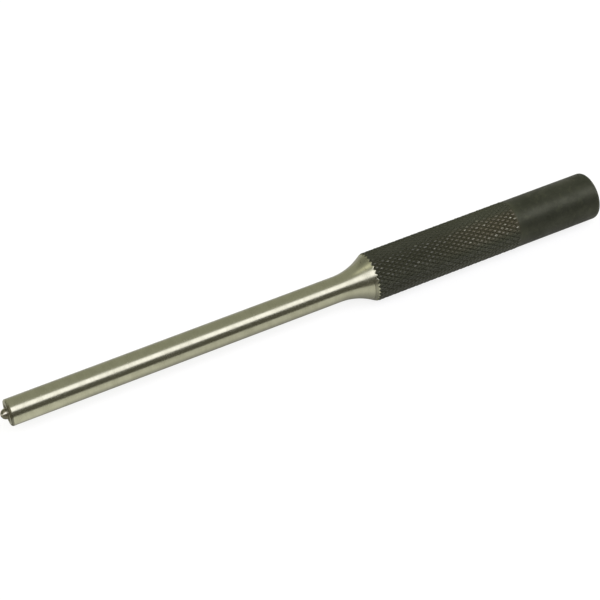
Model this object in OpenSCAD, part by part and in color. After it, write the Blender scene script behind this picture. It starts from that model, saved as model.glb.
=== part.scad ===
// Pin punch for driving spring pins: one steel bar, turned and ground to a parallel
// shank with a round-nosed pilot, a concave flare, a diamond-knurled grip and a plain
// struck end. Each turned section is its own solid, and each meets the next face to face.

/* [Pilot] */
// Diameter of the pilot that enters the hollow pin
pilot_d = 2.55; // [2:0.05:3.2]
// Length of the pilot's straight neck, before its round nose
pilot_neck = 0.25; // [0.2:0.05:1]
// Radius of the fillet at the pilot's root
pilot_fillet = 0.1; // [0.05:0.05:0.2]

/* [Shank] */
// Diameter of the ground shank, which sets the pin size
shank_d = 6.35; // [5:0.05:7]
// Length of the parallel shank, from the driving face to the flare
shank_len = 82.75; // [50:0.05:120]
// Radius on the edge of the driving face
shank_edge = 0.5; // [0.2:0.05:0.6]

/* [Flare] */
// Angle to the axis at which the flare runs out through the grip
flare_angle = 30; // [30:0.5:34]
// Length of the straight cone between the concave radius and the knurl's crests
cone_len = 1.4; // [1:0.1:1.6]

/* [Grip] */
// Diameter over the knurl's crests
grip_d = 12.05; // [11:0.05:14]
// Number of grooves of each hand round the grip, in fours so that it measures alike across and up
knurl_count = 32; // [24:4:40]
// Share of each diamond's width that is left as its top
land_share = 0.42; // [0.36:0.02:0.42]
// How far a top's two side corners lie below the ridge along its middle
land_crown = 0.03; // [0.02:0.01:0.05]
// Slope of a groove's sides, which with the land gives its depth
flank_angle = 48; // [45:1:48]
// Rows of diamonds along the grip, each half a diamond long
knurl_rows = 38; // [12:1:44]

/* [Struck end] */
// Diameter of the plain bar behind the grip
bar_d = 11.9; // [10.9:0.1:13.9]
// Length of the plain bar
bar_len = 23.45; // [12:0.05:40]
// Radius on the edge of the struck face
bar_edge = 1.2; // [0.5:0.1:2]

/* [Hidden] */
$fn = 96;

steel = [0.62, 0.61, 0.53];
black_oxide = [0.17, 0.17, 0.15];

pilot_r = pilot_d / 2;
shank_r = shank_d / 2;
bar_r = bar_d / 2;
crest_r = grip_d / 2;

// Both hands of groove cross on a grid of columns round the bar and rows along it.
knurl_angle = 30;
columns = 2 * knurl_count;
column_angle = 360 / columns;
row_pitch = PI * grip_d / columns / tan(knurl_angle);
flank_width = (1 - land_share) * row_pitch * sin(knurl_angle);
knurl_depth = flank_width * tan(flank_angle);
root_r = crest_r - knurl_depth;
run_out = 0.55 * row_pitch;
grip_len = knurl_rows * row_pitch + run_out;

// The flare's concave radius is tangent to the shank and to the cone.
cone_rise = cone_len * tan(flare_angle);
flare_r = (crest_r - shank_r - cone_rise) / (1 - cos(flare_angle));
crest_start = flare_r * sin(flare_angle) + cone_len;
flare_len = crest_start - knurl_depth / tan(flare_angle);

// Stations along the bar, measured from the driving face.
flare_at = shank_len;
grip_at = flare_at + flare_len;
bar_at = grip_at + grip_len;
bar_end = bar_at + bar_len;
pilot_reach = pilot_neck + pilot_r;
middle = (bar_end - pilot_reach) / 2;

// Turned by a little under half a column, the grip lies on one line of crests, with the
// next line close above the ground.
grip_turn = 0.47 * column_angle;
axis_height = crest_r * cos(grip_turn);

// Lays a section that was turned about Z along X, with the grip resting on the ground.
module lay_down(station) {
    translate([station - middle, 0, axis_height]) rotate([0, 90, 0]) children();
}

// Half outline of a bar whose edge is rounded where it starts.
module rounded_outline(r, len, edge) {
    square([r - edge, len]);
    translate([0, edge]) square([r, len - edge]);
    translate([r - edge, edge]) circle(edge);
}

// Half outline of the fillet round a neck, as high and as wide as its radius.
module fillet_outline(neck_r, fillet) {
    difference() {
        square([neck_r + fillet, fillet]);
        translate([neck_r + fillet, fillet]) circle(fillet);
    }
}

// Half outline of the pilot: the round nose, the neck and the root fillet.
module pilot_outline() {
    square([pilot_r, pilot_neck]);
    fillet_outline(pilot_r, pilot_fillet);
    intersection() {
        translate([0, pilot_neck]) circle(pilot_r);
        square([pilot_r, pilot_reach]);
    }
}

module pilot_nub() {
    color(steel) lay_down(0) mirror([0, 0, 1]) rotate_extrude() pilot_outline();
}

module driving_shank() {
    color(steel) lay_down(0) rotate_extrude() rounded_outline(shank_r, shank_len, shank_edge);
}

// Half outline of the flare: the concave radius cut from a block, then the cone.
module flare_outline() {
    arc_len = crest_start - cone_len;
    arc_top = crest_r - cone_rise;
    difference() {
        square([arc_top, arc_len]);
        translate([shank_r + flare_r, 0]) circle(flare_r, $fn = 360);
    }
    translate([0, arc_len])
        polygon([[0, 0], [arc_top, 0], [root_r, flare_len - arc_len], [0, flare_len - arc_len]]);
}

module flare() {
    color(steel) lay_down(flare_at) rotate_extrude() flare_outline();
}

// A point on the grip, at a column, a row and a radius.
function grip_point(column, row, r) =
    [r * cos(column * column_angle), r * sin(column * column_angle), row * row_pitch];

// Where the flare's cone cuts the ridge of a diamond that would stand on row 0.
ridge_slope = knurl_depth / ((1 - land_share) * row_pitch);
tooth_height = (knurl_depth + land_share * row_pitch * ridge_slope) / (tan(flare_angle) + ridge_slope);
tooth_r = root_r + tooth_height * tan(flare_angle);

// Grooves cross where row and column together are odd, and a diamond stands between
// four crossings. Each block of points holds every other column, so half as many.
function half_index(column) = floor((column + columns) % columns / 2);
tooth_start = (knurl_rows + 1) * knurl_count;
base_start = tooth_start + knurl_count;
land_start = base_start + knurl_count;
ring_start = land_start + 4 * knurl_rows * knurl_count;
function crossing(row, column) = row * knurl_count + half_index(column);
function tooth(column) = tooth_start + half_index(column);
function base(column) = base_start + half_index(column);
function land(row, column, corner) =
    land_start + 4 * ((row - 1) * knurl_count + half_index(column)) + corner;
function ring(column) = ring_start + (column + columns) % columns;

function land_corners(row, column) = [
    grip_point(column - land_share, row, crest_r - land_crown),
    grip_point(column, row + land_share, crest_r),
    grip_point(column + land_share, row, crest_r - land_crown),
    grip_point(column, row - land_share, crest_r)
];

// The cone's cut through row 0: a tooth, and what is left of the diamond behind it.
function tooth_faces(column) =
    let (left = crossing(0, column - 1), right = crossing(0, column + 1))
    let (far = crossing(1, column), tip = tooth(column), foot = base(column))
    [[left, tip, foot], [foot, tip, right], [tip, far, right], [tip, left, far]];

// A diamond's crowned top and the two flanks on its side towards row 0.
function near_faces(row, column) =
    let (left = land(row, column, 0), far = land(row, column, 1))
    let (right = land(row, column, 2), near = land(row, column, 3))
    let (low = crossing(row - 1, column))
    let (low_left = crossing(row, column - 1), low_right = crossing(row, column + 1))
    [
        [left, far, near], [far, right, near],
        [low, near, right], [low, right, low_right],
        [low, low_left, left], [low, left, near]
    ];

// A diamond's two flanks on its other side.
function far_faces(row, column) =
    let (left = land(row, column, 0), far = land(row, column, 1), right = land(row, column, 2))
    let (low = crossing(row + 1, column))
    let (low_left = crossing(row, column - 1), low_right = crossing(row, column + 1))
    [
        [far, low, right], [low, low_right, right],
        [left, low_left, low], [left, low, far]
    ];

// The grooves of the last row fade out on the plain bar.
function run_out_faces(column) =
    let (row = knurl_rows)
    let (left = land(row, column, 0), far = land(row, column, 1), right = land(row, column, 2))
    let (low_left = crossing(row, column - 1), low_right = crossing(row, column + 1))
    let (end_left = ring(column - 1), end = ring(column), end_right = ring(column + 1))
    [
        [far, end, end_right], [far, end_right, right], [right, end_right, low_right],
        [far, end_left, end], [far, left, end_left], [left, low_left, end_left]
    ];

module knurled_bar() {
    points = [
        for (row = [0:knurl_rows]) for (column = [(row + 1) % 2:2:columns - 1])
            grip_point(column, row, root_r),
        for (column = [0:2:columns - 1]) grip_point(column, tooth_height / row_pitch, tooth_r),
        for (column = [0:2:columns - 1]) grip_point(column, 0, root_r),
        for (row = [1:knurl_rows]) for (column = [row % 2:2:columns - 1])
            each land_corners(row, column),
        for (column = [0:columns - 1]) grip_point(column, grip_len / row_pitch, bar_r)
    ];
    faces = [
        for (column = [0:2:columns - 1]) each tooth_faces(column),
        for (row = [1:knurl_rows]) for (column = [row % 2:2:columns - 1])
            each near_faces(row, column),
        for (row = [1:knurl_rows - 1]) for (column = [row % 2:2:columns - 1])
            each far_faces(row, column),
        for (column = [knurl_rows % 2:2:columns - 1]) each run_out_faces(column),
        [for (column = [0:2:columns - 1]) each [base(column), crossing(0, column + 1)]],
        [for (column = [columns - 1:-1:0]) ring(column)]
    ];
    polyhedron(points, faces, convexity = 4);
}

module knurled_grip() {
    color(black_oxide) lay_down(grip_at) rotate(-grip_turn) knurled_bar();
}

module struck_end() {
    color(black_oxide) lay_down(bar_end) mirror([0, 0, 1])
        rotate_extrude() rounded_outline(bar_r, bar_len, bar_edge);
}

pilot_nub();
driving_shank();
flare();
knurled_grip();
struck_end();
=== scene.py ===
import math

import bpy
import numpy as np
from mathutils import Matrix, Vector


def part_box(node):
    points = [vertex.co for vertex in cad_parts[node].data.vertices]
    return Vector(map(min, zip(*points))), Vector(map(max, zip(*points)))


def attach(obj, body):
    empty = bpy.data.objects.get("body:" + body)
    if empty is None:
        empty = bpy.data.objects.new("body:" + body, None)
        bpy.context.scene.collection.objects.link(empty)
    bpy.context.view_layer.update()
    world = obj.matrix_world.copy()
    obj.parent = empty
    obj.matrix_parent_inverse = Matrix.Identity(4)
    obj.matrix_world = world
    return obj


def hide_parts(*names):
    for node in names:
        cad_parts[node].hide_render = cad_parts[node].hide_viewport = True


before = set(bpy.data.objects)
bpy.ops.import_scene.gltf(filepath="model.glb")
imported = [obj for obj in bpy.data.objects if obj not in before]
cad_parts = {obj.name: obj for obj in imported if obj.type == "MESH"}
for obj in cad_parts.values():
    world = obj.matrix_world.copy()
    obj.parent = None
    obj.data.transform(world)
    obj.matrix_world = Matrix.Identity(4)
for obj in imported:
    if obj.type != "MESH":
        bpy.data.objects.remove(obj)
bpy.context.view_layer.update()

# A pin punch for hollow spring pins, lying along X with its pilot towards -X.
# Every length is in metres, and every piece is turned about the punch's own axis.

mm = 0.001

# Stations along the punch, and its radii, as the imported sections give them
pilotLow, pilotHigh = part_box("pilot_nub")
shankLow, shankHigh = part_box("driving_shank")
flareLow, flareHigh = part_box("flare")
gripLow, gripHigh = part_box("knurled_grip")
plainLow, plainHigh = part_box("struck_end")
axisHeight = (gripLow.z + gripHigh.z) / 2
faceX = shankLow.x          # the driving face
flareX = flareLow.x         # where the shank turns into the flare
gripX = gripLow.x           # where the flare's cone reaches the knurl's roots
plainX = plainLow.x         # where the knurl ends
struckX = plainHigh.x       # the struck face
shankRadius = (shankHigh.z - shankLow.z) / 2
rootRadius = (flareHigh.z - flareLow.z) / 2
barRadius = (plainHigh.z - plainLow.z) / 2

# No line of crests is right on top of the grip, so its box is less high than it is thick
grooves = 32                # of each hand, round the grip
gripTurn = 0.47 * math.pi / grooves     # from the grip's top to a line of crests
crestRadius = (gripHigh.z - gripLow.z) / 2 / math.cos(gripTurn)
print("frame loaded: punch from", round(pilotLow.x, 5), "to", round(struckX, 5))


# Shader sockets

class Wire:
    # A shader socket that takes part in arithmetic: each operator adds one Math node
    def __init__(self, tree, socket=None):
        self.tree = tree
        self.socket = socket

    def node(self, kind, settings, sockets, output=0):       # any node, its settings first
        made = self.tree.nodes.new(kind)
        for name, value in settings.items():
            setattr(made, name, value)
        for name, value in sockets.items():
            if isinstance(value, Wire):
                self.tree.links.new(value.socket, made.inputs[name])
            else:
                made.inputs[name].default_value = value
        return Wire(self.tree, made.outputs[output])

    def math(self, operation, *values):
        return self.node("ShaderNodeMath", {"operation": operation}, dict(enumerate(values)))

    def __add__(self, other):
        return self.math("ADD", self, other)

    __radd__ = __add__

    def __sub__(self, other):
        return self.math("SUBTRACT", self, other)

    def __rsub__(self, other):
        return self.math("SUBTRACT", other, self)

    def __mul__(self, other):
        return self.math("MULTIPLY", self, other)

    __rmul__ = __mul__

    def __truediv__(self, other):
        return self.math("DIVIDE", self, other)

    def __abs__(self):
        return self.math("ABSOLUTE", self)

    def axis(self, letter):                  # one coordinate of a vector
        return self.node("ShaderNodeSeparateXYZ", {}, {0: self}, letter)

    def wave(self, spacing):                 # a sine that comes back every spacing
        return self.math("SINE", self * (2 * math.pi / spacing))

    def rise(self, low, high):               # smoothly 0 below low and 1 above high
        sockets = {"Value": self, "From Min": low, "From Max": high}
        return self.node("ShaderNodeMapRange", {"interpolation_type": "SMOOTHSTEP"}, sockets)

    def inside(self, low, high, soft):       # 1 between low and high, with soft ends
        return self.rise(low - soft, low + soft) * (1 - self.rise(high - soft, high + soft))

    def blend(self, first, second):          # from one number to another, by this factor
        return first + self * (second - first)

    def mixTo(self, first, second):          # from one colour to another, by this factor
        sockets = {0: self, 6: first, 7: second}
        for end in (6, 7):
            if not isinstance(sockets[end], Wire):
                sockets[end] = (*sockets[end], 1.0)
        return self.node("ShaderNodeMix", {"data_type": "RGBA"}, sockets, 2)


class BarSkin:
    # A material read in the bar's own terms, all from Object coordinates: how far along it,
    # how far from its axis, and the turn round it from its top, as an angle in radians
    def __init__(self, name, constants):
        self.material = bpy.data.materials.new(name)
        self.material.use_nodes = True
        self.tree = self.material.node_tree
        self.shader = self.tree.nodes["Principled BSDF"]
        for socket, value in constants.items():
            self.shader.inputs[socket].default_value = value
        self.place = Wire(self.tree).node("ShaderNodeTexCoord", {}, {}, "Object")
        self.along = self.place.axis("X")
        self.across = self.place.axis("Y")
        self.up = self.place.axis("Z") - axisHeight
        self.radius = self.place.math("SQRT", self.across * self.across + self.up * self.up)
        self.turn = self.place.math("ARCTAN2", self.across, self.up)

    def noise(self, perAlong, perRound, detail, roughness):
        # Noise on squeezed coordinates: so many cells a metre along the bar and round it
        parts = {0: self.along * perAlong, 1: self.across * perRound, 2: self.up * perRound}
        cells = self.place.node("ShaderNodeCombineXYZ", {}, parts)
        sockets = {"Vector": cells, "Scale": 1.0, "Detail": detail, "Roughness": roughness}
        return self.place.node("ShaderNodeTexNoise", {}, sockets)

    def feed(self, **wires):
        for name, wire in wires.items():
            self.tree.links.new(wire.socket, self.shader.inputs[name.replace("_", " ")])

    def bump(self, height, distance):
        sockets = {"Height": height, "Distance": distance, "Strength": 1.0}
        return self.place.node("ShaderNodeBump", {}, sockets)


# Turned solids

def arc(centreX, centreRadius, radius, fromDegrees, toDegrees, count):
    # Points of a circle in the half plane of distance along and radius: its centre plus its
    # radius times the cosine and sine of evenly spaced angles
    angle = np.radians(np.linspace(fromDegrees, toDegrees, count))
    return np.column_stack((centreX + radius * np.cos(angle), centreRadius + radius * np.sin(angle)))


def straight(start, end, count):
    # Evenly spaced points of the line from start to end, without its own two ends
    share = np.linspace(0, 1, count + 2)[1:-1, None]
    return np.array(start) + share * (np.array(end) - np.array(start))


def turnedSolid(name, along, radius, columns, material, sharpDegrees=32.0):
    # Rings about the axis: x is the distance along, y and z are the radius times the sine and
    # cosine of the turn. The first and last rows are single points, which close the ends, and
    # each quad between is split along its lower diagonal, which keeps a groove's bottom even.
    rows = len(along) - 2
    turn = 2 * np.pi * np.arange(columns) / columns
    along = np.broadcast_to(np.reshape(along, (rows + 2, -1)), (rows + 2, columns))
    radius = np.broadcast_to(np.reshape(radius, (rows + 2, -1)), (rows + 2, columns))
    rings = np.stack((along, radius * np.sin(turn), axisHeight + radius * np.cos(turn)), axis=-1)
    ends = np.array([[along[0, 0], 0, axisHeight], [along[-1, 0], 0, axisHeight]])
    points = np.concatenate((rings[1:-1].reshape(-1, 3), ends))
    index = np.arange(rows * columns).reshape(rows, columns)
    after = np.roll(index, -1, axis=1)
    a, b, c, d = index[:-1], index[1:], after[1:], after[:-1]
    height = radius[1:-1]
    nextHeight = np.roll(height, -1, axis=1)
    valley = (height[:-1] + nextHeight[1:] < height[1:] + nextHeight[:-1])[..., None]
    first = np.where(valley, np.stack((a, b, c), -1), np.stack((a, b, d), -1))
    second = np.where(valley, np.stack((a, c, d), -1), np.stack((b, c, d), -1))
    startFan = np.stack((np.full(columns, rows * columns), index[0], after[0]), -1)
    endFan = np.stack((np.full(columns, rows * columns + 1), after[-1], index[-1]), -1)
    faces = np.concatenate((first.reshape(-1, 3), second.reshape(-1, 3), startFan, endFan))
    mesh = bpy.data.meshes.new(name)
    mesh.from_pydata(points.tolist(), [], faces.tolist())
    mesh.shade_smooth()
    mesh.set_sharp_from_angle(angle=math.radians(sharpDegrees))
    mesh.materials.append(material)
    piece = bpy.data.objects.new(name, mesh)
    bpy.context.collection.objects.link(piece)
    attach(piece, "root")
    print("made", name, "with", len(faces), "faces")
    return piece


def revolve(name, profile, columns, material):
    # The same for a profile that is alike all round, given as its stretches of points
    profile = np.concatenate(profile)
    return turnedSolid(name, profile[:, 0], profile[:, 1], columns, material)


# In the dictionaries below, four numbers for a noise are its cells a metre along the bar and
# round it, its detail and its roughness. Two numbers that bound a mask's step are where it
# starts to change and where it has changed, and a side or an edge across is told by its Y.

# Bright steel, for the pilot, the shank, the flare and where the cone cuts the knurl

steel = {
    "colour": (0.46, 0.455, 0.36),
    "shade": (0.40, 0.395, 0.305),
    "roughness": 0.19,
    "roughest": 0.28,
    "lines": (5200, 90, 3.0, 0.6),          # grinding and turning marks
    "drift": (420, 330, 2.0, 0.5),
    "lineShare": 0.35,          # of the lines in the tone, the rest being drift
    "toneRange": (0.3, 0.7),
    "markDepth": 0.0000008,
}


def steelLook(skin):
    # Tool marks are noise drawn out round the bar, over a slow drift of tone: where the sum of
    # the two is high, the steel is lighter and smoother
    lines = skin.noise(*steel["lines"])
    drift = skin.noise(*steel["drift"])
    tone = lines * steel["lineShare"] + drift * (1 - steel["lineShare"])
    tone = tone.rise(*steel["toneRange"])
    colour = tone.mixTo(steel["shade"], steel["colour"])
    roughness = tone.blend(steel["roughest"], steel["roughness"])
    return colour, roughness, lines


# Black oxide, for the grip and the struck end

oxide = {
    "colour": (0.033, 0.035, 0.026),
    "shade": (0.017, 0.019, 0.013),
    "faded": (0.050, 0.053, 0.034),         # where it has been handled most
    "bare": (0.26, 0.26, 0.20),             # where it has worn through
    "roughness": 0.36,
    "roughest": 0.50,
    "clouds": (160, 210, 3.0, 0.55),
    "speckle": (2600, 2600, 2.0, 0.6),
    "cloudShare": 0.7,          # of the clouds in the tone, the rest being speckle
    "toneRange": (0.32, 0.68),
    "markDepth": 0.0000025,
    "sockets": {"Specular IOR Level": 0.40, "Specular Tint": (0.97, 1.0, 0.74, 1.0)},
}


def oxideLook(skin, shade, light):
    # Fine speckle over broad clouds, as the coating takes unevenly: where the sum of the two
    # is high, it is lighter and smoother
    clouds = skin.noise(*oxide["clouds"])
    speckle = skin.noise(*oxide["speckle"])
    tone = clouds * oxide["cloudShare"] + speckle * (1 - oxide["cloudShare"])
    tone = tone.rise(*oxide["toneRange"])
    colour = tone.mixTo(shade, light)
    roughness = tone.blend(oxide["roughest"], oxide["roughness"])
    return colour, roughness, speckle


# The pilot: a round nose, a straight neck and a fillet on the driving face

pilot = {
    "fillet": 0.05 * mm,
    "nodeFillet": 0.1 * mm,     # the fillet that the node's box takes in
    "noseStart": 178.0,         # degrees: just off the pole, which closes the mesh at 180
    "columns": 96,
    "rings": (26, 4, 7),        # of the mesh: on the nose, the neck and the fillet
    # painted highlight: bright steel in the stripes, where the soft box is mirrored
    "paintedHighlight": (0.56, 0.54, 0.45),
    # painted shade: darker steel over the rest of the pilot
    "paintedShade": (0.21, 0.195, 0.145),
    "highlightStripe": (0.32, 0.92, 0.12),           # turns that bound a stripe of painted highlight, and their softness
    "patches": (900, 900, 2.0, 0.5),        # how unevenly the painted highlight fills a stripe
    "patchRange": (0.2, 0.5),
    "offStripeRoughness": 0.45,
    "polish": 0.04,             # how much smoother a stripe is than the shank
}
noseRadius = (pilotHigh.z - pilotLow.z) / 2 - pilot["nodeFillet"]


def pilotSteel():
    # Steel darkened as painted shade, lightened by noise to a painted highlight in a stripe on either
    # side of its top
    skin = BarSkin("pilotSteel", {"Metallic": 1.0})
    colour, roughness, lines = steelLook(skin)
    highlightStripe = abs(skin.turn).inside(*pilot["highlightStripe"])
    paintedHighlight = highlightStripe * skin.noise(*pilot["patches"]).rise(*pilot["patchRange"])
    colour = paintedHighlight.mixTo(pilot["paintedShade"], pilot["paintedHighlight"])
    roughness = highlightStripe.blend(pilot["offStripeRoughness"], roughness - pilot["polish"])
    skin.feed(Base_Color=colour, Roughness=roughness)
    skin.feed(Normal=skin.bump(lines, steel["markDepth"]))
    return skin.material


def makePilot():
    # A quarter circle for the nose, the neck's line, and a quarter circle for the fillet
    noseRings, neckRings, filletRings = pilot["rings"]
    fillet = pilot["fillet"]
    r = noseRadius
    noseX = pilotLow.x + r
    profile = [
        [(pilotLow.x, 0)],
        arc(noseX, 0, r, pilot["noseStart"], 90, noseRings),
        straight((noseX, r), (faceX - fillet, r), neckRings),
        arc(faceX - fillet, r + fillet, fillet, -90, 0, filletRings),
        [(faceX, 0)],
    ]
    piece = revolve("pilotNub", profile, pilot["columns"], pilotSteel())
    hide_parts("pilot_nub")


# The shank: ground parallel, with a small radius round the driving face

shank = {
    "edge": 0.5 * mm,           # the radius round the face
    "columns": 160,
    "rings": (9, 9, 60),        # of the mesh: on the face, the edge and the side
    "faceRange": (0.02 * mm, 0.10 * mm),    # from the face, to where its own finish has ended
    "faceRoughness": (0.10, 0.45),          # added outside the ring of painted shade round the pilot and in it
    "faceRings": 0.16 * mm,                 # spacing of its turned rings
    "ringTone": 0.06,
    "ringDepth": 0.5,
    # painted shade on the face, strongest round the pilot's root; the face's turned rings take this
    # colour too
    "paintedShadeAndMarks": (0.125, 0.115, 0.072),
    "faceShadeRange": (1.75 * mm, 2.5 * mm),     # radii between which the painted shade round the pilot's root ends
    "faceShadeStrength": (0.23, 0.95),               # outside that ring and in it
    "faceShadeSide": (-2.0 * mm, -1.0 * mm),     # across: before this, on the near side, the painted shade is lighter,
    "faceShadeSideShare": (0.2, 1.0),            # by so much
    "edgeShade": (0.10, 0.092, 0.055),     # painted shade on the rounded edge, for the dark surroundings it mirrors
    "edgeShadeBelow": (0.23, 0.225, 0.175),      # lighter painted shade, low on the near side
    "edgeSide": (-3.05 * mm, -2.75 * mm),   # across, between those two
    "edgeRange": (0.46 * mm, 0.64 * mm),    # from the face, to where ground steel has begun
    "edgeWider": 0.09 * mm,                 # by so much more, away from the near side
    "edgeInner": (0.52 * mm, 0.40 * mm),    # under the shank's radius, where the edge begins
    "edgeTop": (-1.0 * mm, 0.4 * mm),       # across, where the edge's painted shade fades
    "edgeShadeStrength": (0.95, 0.07),           # before that and past it
    "edgeRoughness": 0.3,
}


def groundSteel():
    # Ground steel with a turned driving face. Painted shade lies round the pilot's root, lighter on the
    # near side, and on the rounded edge, lighter low on the near side and faint past the top. Face and
    # edge are told by the distances from the face and from the axis.
    skin = BarSkin("groundSteel", {"Metallic": 1.0})
    colour, roughness, lines = steelLook(skin)
    fromFace = skin.along - faceX
    onFace = 1 - fromFace.rise(*shank["faceRange"])
    rings = skin.radius.wave(shank["faceRings"])
    nearPilot = 1 - skin.radius.rise(*shank["faceShadeRange"])
    # painted shade round the pilot's root, lighter on the near side
    paintedShadeAndMarks = nearPilot.blend(*shank["faceShadeStrength"])
    paintedShadeAndMarks = paintedShadeAndMarks * skin.across.rise(*shank["faceShadeSide"]).blend(*shank["faceShadeSideShare"])
    colour = (onFace * (paintedShadeAndMarks + rings * shank["ringTone"])).mixTo(colour, shank["paintedShadeAndMarks"])

    # painted shade on the rounded edge: lighter low on the near side, faint past the top
    aside = skin.across.rise(*shank["edgeSide"])
    onEdge = 1 - (fromFace - aside * shank["edgeWider"]).rise(*shank["edgeRange"])
    onEdge = onEdge * skin.radius.rise(*[shankRadius - inner for inner in shank["edgeInner"]])
    onEdge = onEdge * skin.across.rise(*shank["edgeTop"]).blend(*shank["edgeShadeStrength"])
    edgeShade = aside.mixTo(shank["edgeShadeBelow"], shank["edgeShade"])
    colour = onEdge.mixTo(colour, edgeShade)
    roughness = roughness + onFace * nearPilot.blend(*shank["faceRoughness"])
    roughness = roughness + onEdge * shank["edgeRoughness"]
    skin.feed(Base_Color=colour, Roughness=roughness)
    height = lines + onFace * rings * shank["ringDepth"]
    skin.feed(Normal=skin.bump(height, steel["markDepth"]))
    return skin.material


def makeShank():
    # The face's radius line, a quarter circle for the edge, and the parallel side
    faceRings, edgeRings, sideRings = shank["rings"]
    edge = shank["edge"]
    inner = shankRadius - edge
    profile = [
        [(faceX, 0)],
        straight((faceX, 0), (faceX, inner), faceRings),
        arc(faceX + edge, inner, edge, 180, 90, edgeRings),
        straight((faceX + edge, shankRadius), (flareX, shankRadius), sideRings),
        [(flareX, shankRadius), (flareX, 0)],
    ]
    piece = revolve("drivingShank", profile, shank["columns"], groundSteel())
    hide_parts("driving_shank")


# The flare: a concave arc that leaves the shank without a corner, then a short cone

flare = {
    "angle": 30.0,              # the cone's slope to the axis, in degrees
    "coneLength": 1.4 * mm,
    "columns": 160,
    "rings": (48, 6),           # of the mesh: on the arc and the cone
    "feed": 0.21 * mm,          # spacing of the turning marks
    "feedRange": (0.0, 3 * mm),             # from the shank, where they begin
    "feedDepth": 1.6,
    "uneven": (1900, 160, 2.0, 0.5),        # their unevenness, and the ring's
    "unevenRange": (0.25, 0.55),
    # the colour of the ring's dark mark, and of painted shade low on the cone's sides
    "paintedShadeAndMarks": (0.10, 0.095, 0.07),
    "ringDullness": 0.45,       # of the ring where arc meets cone
    "ringDepth": 6.0,
    "ringPast": (-0.6 * mm, 0.2 * mm),      # how far past the arc's end it lies: on top, aside
    "ringTurns": (0.25, 0.45),              # the turns between those two
    "ringRange": (0.04 * mm, 0.16 * mm),    # from its middle line, to where it has ended
    "ringStroke": (0.18, 0.36, 0.06),       # turns that bound its stroke near the top, and softness
    "ringLow": (0.88, 0.97),                # turns past which it shows again, low on the sides
    "coneShade": 0.38,
    "coneRange": (-0.05 * mm, 0.05 * mm),   # from the ring's middle line
    "coneLow": (0.88, 1.10),                # turns past which the cone takes painted shade
    "coneRoughness": 0.06,
}
flareSlope = math.tan(math.radians(flare["angle"]))
coneRise = flare["coneLength"] * flareSlope
arcRadius = (crestRadius - shankRadius - coneRise) / (1 - math.cos(math.radians(flare["angle"])))
coneX = flareX + arcRadius * math.sin(math.radians(flare["angle"]))


def turnedMarks(skin):
    # A sine along the bar, uneven in height, for the tool's feed; the ring where arc meets
    # cone, as the nearness to its station; and the cone past it, low on its sides, for painted shade.
    # Both are masked by the turn.
    uneven = skin.noise(*flare["uneven"])
    ridges = skin.along.wave(flare["feed"]) * uneven
    aside = abs(skin.turn)
    past = skin.along - coneX - aside.rise(*flare["ringTurns"]).blend(*flare["ringPast"])
    shown = aside.inside(*flare["ringStroke"]) + aside.rise(*flare["ringLow"])
    ring = (1 - abs(past).rise(*flare["ringRange"])) * uneven.rise(*flare["unevenRange"]) * shown
    # painted shade on the cone, low on its sides and not on its top
    onCone = past.rise(*flare["coneRange"]) * aside.rise(*flare["coneLow"])
    return ridges, ring, onCone


def turnedSteel():
    # Bright steel, darker in the ring's mark, with painted shade low on the cone's sides, and ridged
    # once it leaves the shank
    skin = BarSkin("turnedSteel", {"Metallic": 1.0})
    colour, roughness, lines = steelLook(skin)
    ridges, ring, onCone = turnedMarks(skin)
    paintedShadeAndMarks = ring * flare["ringDullness"] + onCone * flare["coneShade"]
    colour = paintedShadeAndMarks.mixTo(colour, flare["paintedShadeAndMarks"])
    skin.feed(Base_Color=colour, Roughness=roughness + onCone * flare["coneRoughness"])
    onFlare = (skin.along - flareX).rise(*flare["feedRange"])
    height = lines + onFlare * ridges * flare["feedDepth"] - ring * flare["ringDepth"]
    skin.feed(Normal=skin.bump(height, steel["markDepth"]))
    return skin.material


def makeFlare():
    # An arc whose centre stands straight over its start by its radius, so that it leaves the
    # shank level, and the cone's line up to the knurl's roots
    arcRings, coneRings = flare["rings"]
    profile = [
        [(flareX, 0), (flareX, shankRadius)],
        arc(flareX, shankRadius + arcRadius, arcRadius, -90, -90 + flare["angle"], arcRings)[1:],
        straight((coneX, crestRadius - coneRise), (gripX, rootRadius), coneRings),
        [(gripX, rootRadius), (gripX, 0)],
    ]
    piece = revolve("turnedFlare", profile, flare["columns"], turnedSteel())
    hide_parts("flare")


# The grip: the knurl, cut off by the flare's cone at one end and run out at the other

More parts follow.
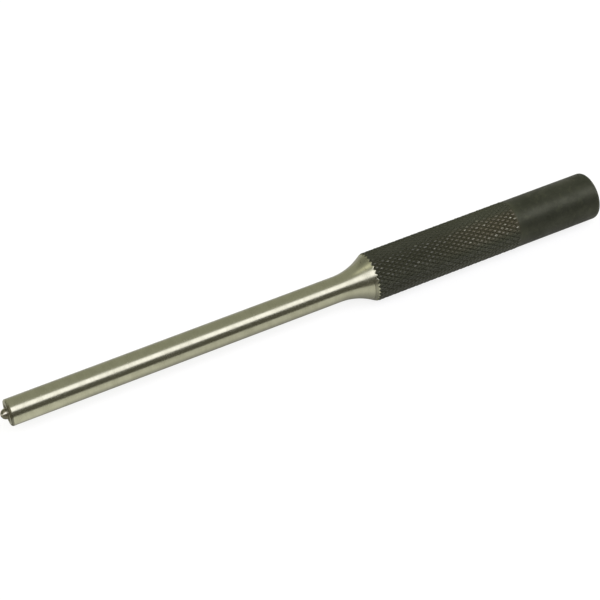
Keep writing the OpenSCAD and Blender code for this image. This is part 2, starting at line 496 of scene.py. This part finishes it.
knurl = {
    "angle": 30.0,              # between a groove and the axis, in degrees
    "land": 0.42,               # share of a diamond's width that is its top
    "crown": 0.028 * mm,        # how far a land's rim lies under its middle
    "rounding": 0.14 * mm,      # height over which flank and land blend
    "unevenness": 0.060 * mm,   # how far single lands tip
    "seed": 11,                 # of their tipping
    "runOut": 0.62 * mm,        # length over which the last row fades
    "steps": 12,                # mesh columns from one groove to the next
    "sharpAngle": 50.0,         # degrees past which a fold of the mesh stays sharp
    "colour": (0.028, 0.030, 0.021),
    "shade": (0.020, 0.022, 0.014),
    "dustAndFill": (0.048, 0.049, 0.033),          # dust in the grooves, painted lighter to even out their shade
    "dustRoughness": 0.1,
    "rubbedAndSheen": (0.090, 0.074, 0.044),        # where hands have thinned the coating; partly a painted sheen on the held side under the soft box
    "spots": (1500, 1800, 2.0, 0.6),
    "patches": (150, 220, 2.0, 0.5),
    "patchRange": (0.3, 0.7),
    "ownRange": (0.2, 1.0),                 # of each land's own number in its polish
    "grain": 3.0,                           # how rough the black is, against the bright steel
    "heldTurn": -0.60,          # the turn of one held side; a thumb and two fingers make three
    "heldRange": (-0.4, 0.8),               # of the cosine that tells them
    "farRange": (12 * mm, 34 * mm),         # from the grip's start, where it is handled most
    "fading": (0.8, 0.35),                  # there, and at the run-out
    "fadingEnd": (-4 * mm, 0.0),            # from the run-out, between those two
    "dustAndFillHeight": (0.05, 0.6),              # heights are 0 in a groove and 1 midway between two
    "rubHeight": (0.30, 0.70),
    "wearHeight": (0.45, 0.65),
    "polishHeight": (0.46, 0.64),
    "rub": {"grooves": 0.4, "held": 0.10, "handled": 0.75},     # how much of it, and where
    "wear": {"own": 0.25, "spots": 0.65, "patches": 0.20, "handled": 0.05},     # what adds to it
    "wearRange": (0.64, 0.80),
    "wearHeld": (0.3, 1.0),                 # its share between the held sides and on them
    "wearRoughness": 0.22,
    "polish": {"all": 0.25, "own": 0.95, "patches": 0.40, "handled": 0.25, "sides": 0.60},
    "polishHeld": (0.22, 1.15),
    "polishSides": (1.26, 1.48),            # turns past which the sides have their own
    "cutRange": (0.002 * mm, 0.016 * mm),   # height cut away by the cone, to bare bright steel
    "sockets": {**oxide["sockets"], "Specular IOR Level": 0.25, "Coat Roughness": 0.18, "Coat IOR": 1.5},
}
knurlPitch = 2 * math.pi * crestRadius / grooves
knurlPeriod = knurlPitch / math.tan(math.radians(knurl["angle"]))
knurlDepth = crestRadius - rootRadius


def nearness(phase):
    # 1 midway between two grooves and 0 in the bottom of one, falling straight between
    return 1 - 2 * abs((phase + 0.5) % 1 - 0.5)


def knurlRadius(along, turn):
    # Two hands of groove, each a straight-sided valley: the nearer of the two sets the flank's
    # height, the crowned land caps it, and a parabola rounds the corner between them. Each
    # land is tipped a little its own way. At the far end the radius eases into the plain bar's
    # by a quarter of a sine, and at the near end the flare's cone cuts it off.
    across = (turn - gripTurn) * grooves / (2 * math.pi)
    forward = (along - gripX) / knurlPeriod
    left = across + forward
    right = across - forward
    rise = np.minimum(nearness(left), nearness(right))
    flank = knurlDepth * rise / (1 - knurl["land"])
    inward = np.clip((rise - 1 + knurl["land"]) / knurl["land"], 0, 1)
    top = knurlDepth - knurl["crown"] * (1 - inward) ** 2
    blend = np.maximum(knurl["rounding"] - abs(flank - top), 0) ** 2 / (4 * knurl["rounding"])
    tips = np.random.default_rng(knurl["seed"]).uniform(-1, 1, (2, grooves, grooves))
    leftHome = np.round(left).astype(int)
    rightHome = np.round(right).astype(int)
    leftTip, rightTip = tips[:, leftHome % grooves, rightHome % grooves]
    tipped = (left - leftHome) * leftTip + (right - rightHome) * rightTip
    height = np.minimum(flank, top) - blend + knurl["unevenness"] * tipped * inward
    radius = rootRadius + np.minimum(height, knurlDepth)
    fade = np.clip((plainX - along) / knurl["runOut"], 0, 1)
    radius = barRadius + (radius - barRadius) * np.sin(fade * math.pi / 2)
    cone = rootRadius + (along - gripX) * flareSlope
    return np.minimum(radius, cone)


def blackKnurl():
    # The mesh's own groove pattern again, so that wear, dust and painted fill light keep to the
    # diamonds.
    # Wear and polish are sums of noises, one value for each land among them, on the upper part of each
    # land and mostly on the held sides, where a cosine of three times the turn is high.
    # One held side lies under the soft box's highlight, so the rubbed colour there is partly a painted
    # sheen.
    skin = BarSkin("blackKnurl", knurl["sockets"])
    colour, roughness, speckle = oxideLook(skin, knurl["shade"], knurl["colour"])
    across = (skin.turn - gripTurn) * (grooves / (2 * math.pi))
    forward = (skin.along - gripX) / knurlPeriod
    left = across + forward
    right = across - forward

    def near(phase):
        return 1 - 2 * abs(skin.place.math("FRACT", phase + 0.5) - 0.5)

    def home(phase):
        return skin.place.math("FLOORED_MODULO", skin.place.math("ROUND", phase), grooves)

    rise = skin.place.math("MINIMUM", near(left), near(right))
    which = skin.place.node("ShaderNodeCombineXYZ", {}, {0: home(left), 1: home(right)})
    own = skin.place.node("ShaderNodeTexWhiteNoise", {"noise_dimensions": "2D"}, {"Vector": which})
    spots = skin.noise(*knurl["spots"])
    patches = skin.noise(*knurl["patches"])
    held = skin.place.math("COSINE", (skin.turn - knurl["heldTurn"]) * 3).rise(*knurl["heldRange"])
    far = (skin.along - gripX).rise(*knurl["farRange"])
    handled = far * held

    wear = knurl["wear"]
    worn = own * wear["own"] + spots * wear["spots"]
    worn = worn + patches * wear["patches"] + handled * wear["handled"]
    worn = worn.rise(*knurl["wearRange"]) * rise.rise(*knurl["wearHeight"])
    worn = worn * held.blend(*knurl["wearHeld"])
    rub = knurl["rub"]
    # lighter where handled, partly wear and partly a painted sheen, as one held side lies under the soft
    # box's highlight
    rubbedAndSheen = rise.rise(*knurl["rubHeight"]).blend(rub["grooves"], 1.0)
    rubbedAndSheen = rubbedAndSheen * (rub["held"] * held + rub["handled"] * handled)
    polish = knurl["polish"]
    polished = polish["all"] + polish["handled"] * handled
    polished = polished + polish["patches"] * patches.rise(*knurl["patchRange"])
    polished = polished + polish["own"] * own.rise(*knurl["ownRange"])
    polished = polished * rise.rise(*knurl["polishHeight"])
    polished = polished * (held * held).blend(*knurl["polishHeld"])
    polished = polished + polish["sides"] * abs(skin.turn).rise(*knurl["polishSides"])
    # dust and painted fill light in the grooves, lighter than the lands so that their shade evens out
    dustAndFill = 1 - rise.rise(*knurl["dustAndFillHeight"])
    faded = far * (skin.along - plainX).rise(*knurl["fadingEnd"]).blend(*knurl["fading"])

    flank = rise * (knurlDepth / (1 - knurl["land"]))
    cone = (skin.along - gripX) * flareSlope
    cut = (skin.place.math("MINIMUM", flank, knurlDepth) - cone).rise(*knurl["cutRange"])
    brightColour, brightRoughness, lines = steelLook(skin)
    colour = dustAndFill.mixTo(colour, knurl["dustAndFill"])
    colour = faded.mixTo(colour, oxide["faded"])
    colour = rubbedAndSheen.mixTo(colour, knurl["rubbedAndSheen"])
    colour = worn.mixTo(colour, oxide["bare"])
    colour = cut.mixTo(colour, brightColour)
    roughness = worn.blend(roughness + dustAndFill * knurl["dustRoughness"], knurl["wearRoughness"])
    skin.feed(Base_Color=colour, Roughness=cut.blend(roughness, brightRoughness))
    skin.feed(Metallic=skin.place.math("MAXIMUM", worn, cut), Coat_Weight=polished * (1 - cut))
    height = cut.blend((speckle + spots) * knurl["grain"], lines)
    skin.feed(Normal=skin.bump(height, oxide["markDepth"]))
    return skin.material


def makeGrip():
    # A full grid of stations and turns, so that every column has its own radius
    columns = grooves * knurl["steps"]
    step = knurlPeriod / knurl["steps"]
    turn = 2 * np.pi * np.arange(columns) / columns
    stations = np.arange(gripX, plainX - 0.3 * step, step)      # none nearer the end than this
    along = np.concatenate(([gripX], stations, [plainX, plainX]))
    radius = knurlRadius(along[:, None], turn[None, :])
    radius[[0, -1]] = 0
    piece = turnedSolid("knurledGrip", along, radius, columns, blackKnurl(), knurl["sharpAngle"])
    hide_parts("knurled_grip")


# The struck end: plain bar with a rounded edge and a flat face

struckEnd = {
    "edge": 1.2 * mm,
    "columns": 160,
    "rings": (26, 14, 12),      # of the mesh: on the side, the edge and the face
    "lines": (4200, 120, 3.0, 0.6),         # turning marks
    "fading": (300, 260, 2.0, 0.5),         # beside the knurl
    "fadingRange": (0.30, 0.60),
    "fadingEnd": (-1 * mm, 2.6 * mm),       # from the knurl, to where it has ended
    "fadingStrength": 0.9,
    "scuffs": (750, 600, 3.0, 0.6),
    "scuffRange": (0.48, 0.72),
    "scuffStrength": 0.5,
    "scuffShine": 0.08,                     # how much smoother they are
    "rubs": (900, 700, 3.0, 0.6),           # down to the metal, round the edge
    "rubRange": (0.48, 0.70),
    "rubStrength": 0.55,
    "rubBack": 0.45 * mm,                   # their middle line, from the struck face
    "rubReach": (0.1 * mm, 0.75 * mm),      # from that line, to where they have ended
    "dents": (1500, 1500, 1.0, 0.4),        # the hammer's, on the face
    "dentRange": (0.55, 0.70),
    "dentStrength": 0.25,
    "dentDepth": 3.0,
    "wornShine": 0.1,                       # how much smoother rubs and dents are
    "faceRange": (-0.25 * mm, -0.1 * mm),   # from the struck face, where its own finish begins
    "faceRings": 0.22 * mm,                 # spacing of its turned rings
}


def blackOxide():
    # Black oxide, faded by noise beside the knurl and in small scuffs, rubbed through by noise
    # round the edge, and dented by the hammer on the face
    skin = BarSkin("blackOxide", oxide["sockets"])
    colour, roughness, speckle = oxideLook(skin, oxide["shade"], oxide["colour"])
    lines = skin.noise(*struckEnd["lines"])
    fading = skin.noise(*struckEnd["fading"]).rise(*struckEnd["fadingRange"])
    fading = fading * (1 - (skin.along - plainX).rise(*struckEnd["fadingEnd"]))
    scuffs = skin.noise(*struckEnd["scuffs"]).rise(*struckEnd["scuffRange"])
    rubs = skin.noise(*struckEnd["rubs"]).rise(*struckEnd["rubRange"])
    fromLine = abs(skin.along - struckX + struckEnd["rubBack"])
    rubs = rubs * (1 - fromLine.rise(*struckEnd["rubReach"]))
    onFace = (skin.along - struckX).rise(*struckEnd["faceRange"])
    dents = skin.noise(*struckEnd["dents"]).rise(*struckEnd["dentRange"]) * onFace
    worn = rubs * struckEnd["rubStrength"] + dents * struckEnd["dentStrength"]
    colour = (fading * struckEnd["fadingStrength"]).mixTo(colour, oxide["faded"])
    colour = (scuffs * struckEnd["scuffStrength"]).mixTo(colour, oxide["faded"])
    colour = worn.mixTo(colour, oxide["bare"])
    roughness = roughness - worn * struckEnd["wornShine"] - scuffs * struckEnd["scuffShine"]
    skin.feed(Base_Color=colour, Roughness=roughness, Metallic=worn)
    rings = skin.radius.wave(struckEnd["faceRings"]) * onFace
    height = lines + speckle + rings - dents * struckEnd["dentDepth"]
    skin.feed(Normal=skin.bump(height, oxide["markDepth"]))
    return skin.material


def makeStruckEnd():
    # The parallel side, a quarter circle for the edge, and the face's radius line
    sideRings, edgeRings, faceRings = struckEnd["rings"]
    edge = struckEnd["edge"]
    inner = barRadius - edge
    profile = [
        [(plainX, 0), (plainX, barRadius)],
        straight((plainX, barRadius), (struckX - edge, barRadius), sideRings),
        arc(struckX - edge, inner, edge, 90, 0, edgeRings),
        straight((struckX, inner), (struckX, 0), faceRings),
        [(struckX, 0)],
    ]
    piece = revolve("struckEnd", profile, struckEnd["columns"], blackOxide())
    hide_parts("struck_end")


makePilot()
makeShank()
makeFlare()
makeGrip()
makeStruckEnd()


# Camera

camera = {
    "azimuth": -27.24,          # degrees; 0 looks along +Y
    "elevation": 46.80,
    "distance": 400.0 * mm,
    "focalPixels": 1700.0,      # on an image of the width below
    "imageWidth": 600.0,
    "sensor": 36.0,
    "aimFromFace": 73.10 * mm,  # along the axis, from the driving face
    "aimRaised": 0.74 * mm,     # in the image's upward direction
    "nearest": 10.0 * mm,       # what lies closer than this isn't drawn
}


def placeCamera():
    # The camera stands back from its aim by the distance, along the direction that azimuth and
    # elevation give, and its focal length is to its sensor as the pixels are to the image
    azimuth, elevation = math.radians(camera["azimuth"]), math.radians(camera["elevation"])
    level = math.cos(elevation)
    back = Vector((math.sin(azimuth) * level, -math.cos(azimuth) * level, math.sin(elevation)))
    right = Vector((0, 0, 1)).cross(back).normalized()
    up = back.cross(right)
    aim = Vector((faceX + camera["aimFromFace"], 0, axisHeight)) + up * camera["aimRaised"]
    data = bpy.data.cameras.new("photoCamera")
    data.sensor_width = camera["sensor"]
    data.lens = camera["sensor"] * camera["focalPixels"] / camera["imageWidth"]
    data.clip_start = camera["nearest"]
    eye = bpy.data.objects.new("photoCamera", data)
    bpy.context.collection.objects.link(eye)
    axes = Matrix((right, up, back)).transposed().to_4x4()
    eye.matrix_world = Matrix.Translation(aim + back * camera["distance"]) @ axes
    bpy.context.scene.camera = eye


# Studio: a pale floor, a long soft box overhead and dim walls. Directions are told by their
# lean, the angle about the punch from overhead towards the camera's side, in degrees, and by
# their share along the punch, from -1 off the pilot's end to 1 off the struck end.

studio = {
    "boxColour": (2.28, 2.25, 2.40),
    "boxLean": (5.0, 13.0),                 # where it begins, towards the back wall
    "boxShare": (-0.98, -0.90),
    "backColour": (0.47, 0.475, 0.375),
    "frontColour": (0.135, 0.13, 0.10),
    "frontLean": (41.0, 45.0),              # where the box ends and the front wall begins
    "wallColour": (1.22, 1.21, 0.95),       # a bright piece of the back wall
    "wallLean": (-27.0, -10.0, 6.0),        # from, to, and how softly
    "wallShare": (-0.85, -0.22, 0.14),
    "duskColour": (0.28, 0.285, 0.23),      # the back wall's foot, off the pilot's end
    "duskLean": (-52.0, -36.0),             # where it ends
    "duskShare": (-0.35, -0.10),
    "endColour": (0.20, 0.195, 0.15),       # the wall off the pilot's end
    "endShare": (-0.92, -0.72),             # where it ends
}


def lightStudio():
    # The world's colour by direction: the back wall, then each zone mixed over it by its mask,
    # and plain white for the camera
    world = bpy.data.worlds.new("studio")
    world.use_nodes = True
    tree = world.node_tree
    look = Wire(tree).node("ShaderNodeTexCoord", {}, {}, "Generated")
    share = look.axis("X")
    lean = look.math("ARCTAN2", 0 - look.axis("Y"), look.axis("Z")) * (180 / math.pi)
    front = lean.rise(*studio["frontLean"])
    dusk = (1 - lean.rise(*studio["duskLean"])) * (1 - share.rise(*studio["duskShare"]))
    wall = lean.inside(*studio["wallLean"]) * share.inside(*studio["wallShare"])
    offEnd = 1 - share.rise(*studio["endShare"])
    box = share.rise(*studio["boxShare"]) * (1 - front) * lean.rise(*studio["boxLean"])
    colour = front.mixTo(studio["backColour"], studio["frontColour"])
    colour = dusk.mixTo(colour, studio["duskColour"])
    colour = wall.mixTo(colour, studio["wallColour"])
    colour = offEnd.mixTo(colour, studio["endColour"])
    colour = box.mixTo(colour, studio["boxColour"])
    seen = look.node("ShaderNodeLightPath", {}, {}, "Is Camera Ray")
    colour = seen.mixTo(colour, (1, 1, 1))
    tree.links.new(colour.socket, tree.nodes["Background"].inputs["Color"])
    bpy.context.scene.world = world


# The floor, and what metal sees of it. Before the punch is the camera's side.

floorLook = {
    "size": 1.6,
    "colour": (0.25, 0.25, 0.25, 1.0),
    "roughness": 0.9,
    "glow": 0.83,               # what the camera sees, besides the light that falls on it
    "before": 0.72,             # what metal sees: the floor before the punch,
    "under": 0.12,              # in its shade,
    "behind": 0.33,             # behind it,
    "offTip": 0.48,             # and off its pilot, where nothing shades the floor
    "beforeFades": (1.10, 0.92),            # a factor on the first, from the tip to the flare,
    "fadesOver": (10 * mm, 20 * mm),        # from after the driving face to before the flare
    "underEdge": (-11.5 * mm, 1.0 * mm),    # across, from before to under
    "behindEdge": (3.0 * mm, 10.0 * mm),    # and from under to behind
    "tipNarrows": (1.7, 1.0),               # how much narrower the shade is at the tip,
    "tipLength": (2 * mm, 22 * mm),         # and where that ends, from the driving face
    "gripWidens": 1.9,                      # how much wider it is under the grip
    "tipEdge": 2 * mm,                      # before the driving face, where off the tip begins
    "tint": (1.0, 0.995, 0.86),             # of what metal sees
}


def layFloor():
    # A square that glows evenly for the camera. For metal, the glow steps smoothly over the
    # distance across, measured in units that follow the width of the punch's shade.
    half = floorLook["size"] / 2
    corners = [(-half, -half, 0), (half, -half, 0), (half, half, 0), (-half, half, 0)]
    mesh = bpy.data.meshes.new("floor")
    mesh.from_pydata(corners, [], [(0, 1, 2, 3)])
    material = bpy.data.materials.new("paleFloor")
    material.use_nodes = True
    tree = material.node_tree
    shader = tree.nodes["Principled BSDF"]
    shader.inputs["Base Color"].default_value = floorLook["colour"]
    shader.inputs["Roughness"].default_value = floorLook["roughness"]
    shader.inputs["Specular IOR Level"].default_value = 0.0
    place = Wire(tree).node("ShaderNodeTexCoord", {}, {}, "Object")
    x = place.axis("X")
    narrow = (x - faceX).rise(*floorLook["tipLength"]).blend(*floorLook["tipNarrows"])
    y = place.axis("Y") * narrow / x.rise(flareX, gripX).blend(1.0, floorLook["gripWidens"])
    afterFace, beforeFlare = floorLook["fadesOver"]
    fades = x.rise(faceX + afterFace, flareX - beforeFlare).blend(*floorLook["beforeFades"])
    under = floorLook["under"]
    mirrored = y.rise(*floorLook["underEdge"]).blend(fades * floorLook["before"], under)
    mirrored = mirrored + y.rise(*floorLook["behindEdge"]) * (floorLook["behind"] - under)
    offTip = 1 - x.rise(faceX - floorLook["tipEdge"], faceX)
    mirrored = offTip.blend(mirrored, floorLook["offTip"])
    seen = place.node("ShaderNodeLightPath", {}, {}, "Is Camera Ray")
    glossy = place.node("ShaderNodeLightPath", {}, {}, "Is Glossy Ray")
    through = place.node("ShaderNodeLightPath", {}, {}, "Is Transmission Ray")
    reflected = place.math("MAXIMUM", glossy, through) * mirrored
    strength = place.math("MAXIMUM", seen * floorLook["glow"], reflected)
    tint = seen.mixTo(floorLook["tint"], (1, 1, 1))
    tree.links.new(tint.socket, shader.inputs["Emission Color"])
    tree.links.new(strength.socket, shader.inputs["Emission Strength"])
    mesh.materials.append(material)
    floor = bpy.data.objects.new("floor", mesh)
    bpy.context.collection.objects.link(floor)


placeCamera()
lightStudio()
layFloor()
bpy.context.scene.view_settings.view_transform = "Standard"
print("camera, light and floor are in place")
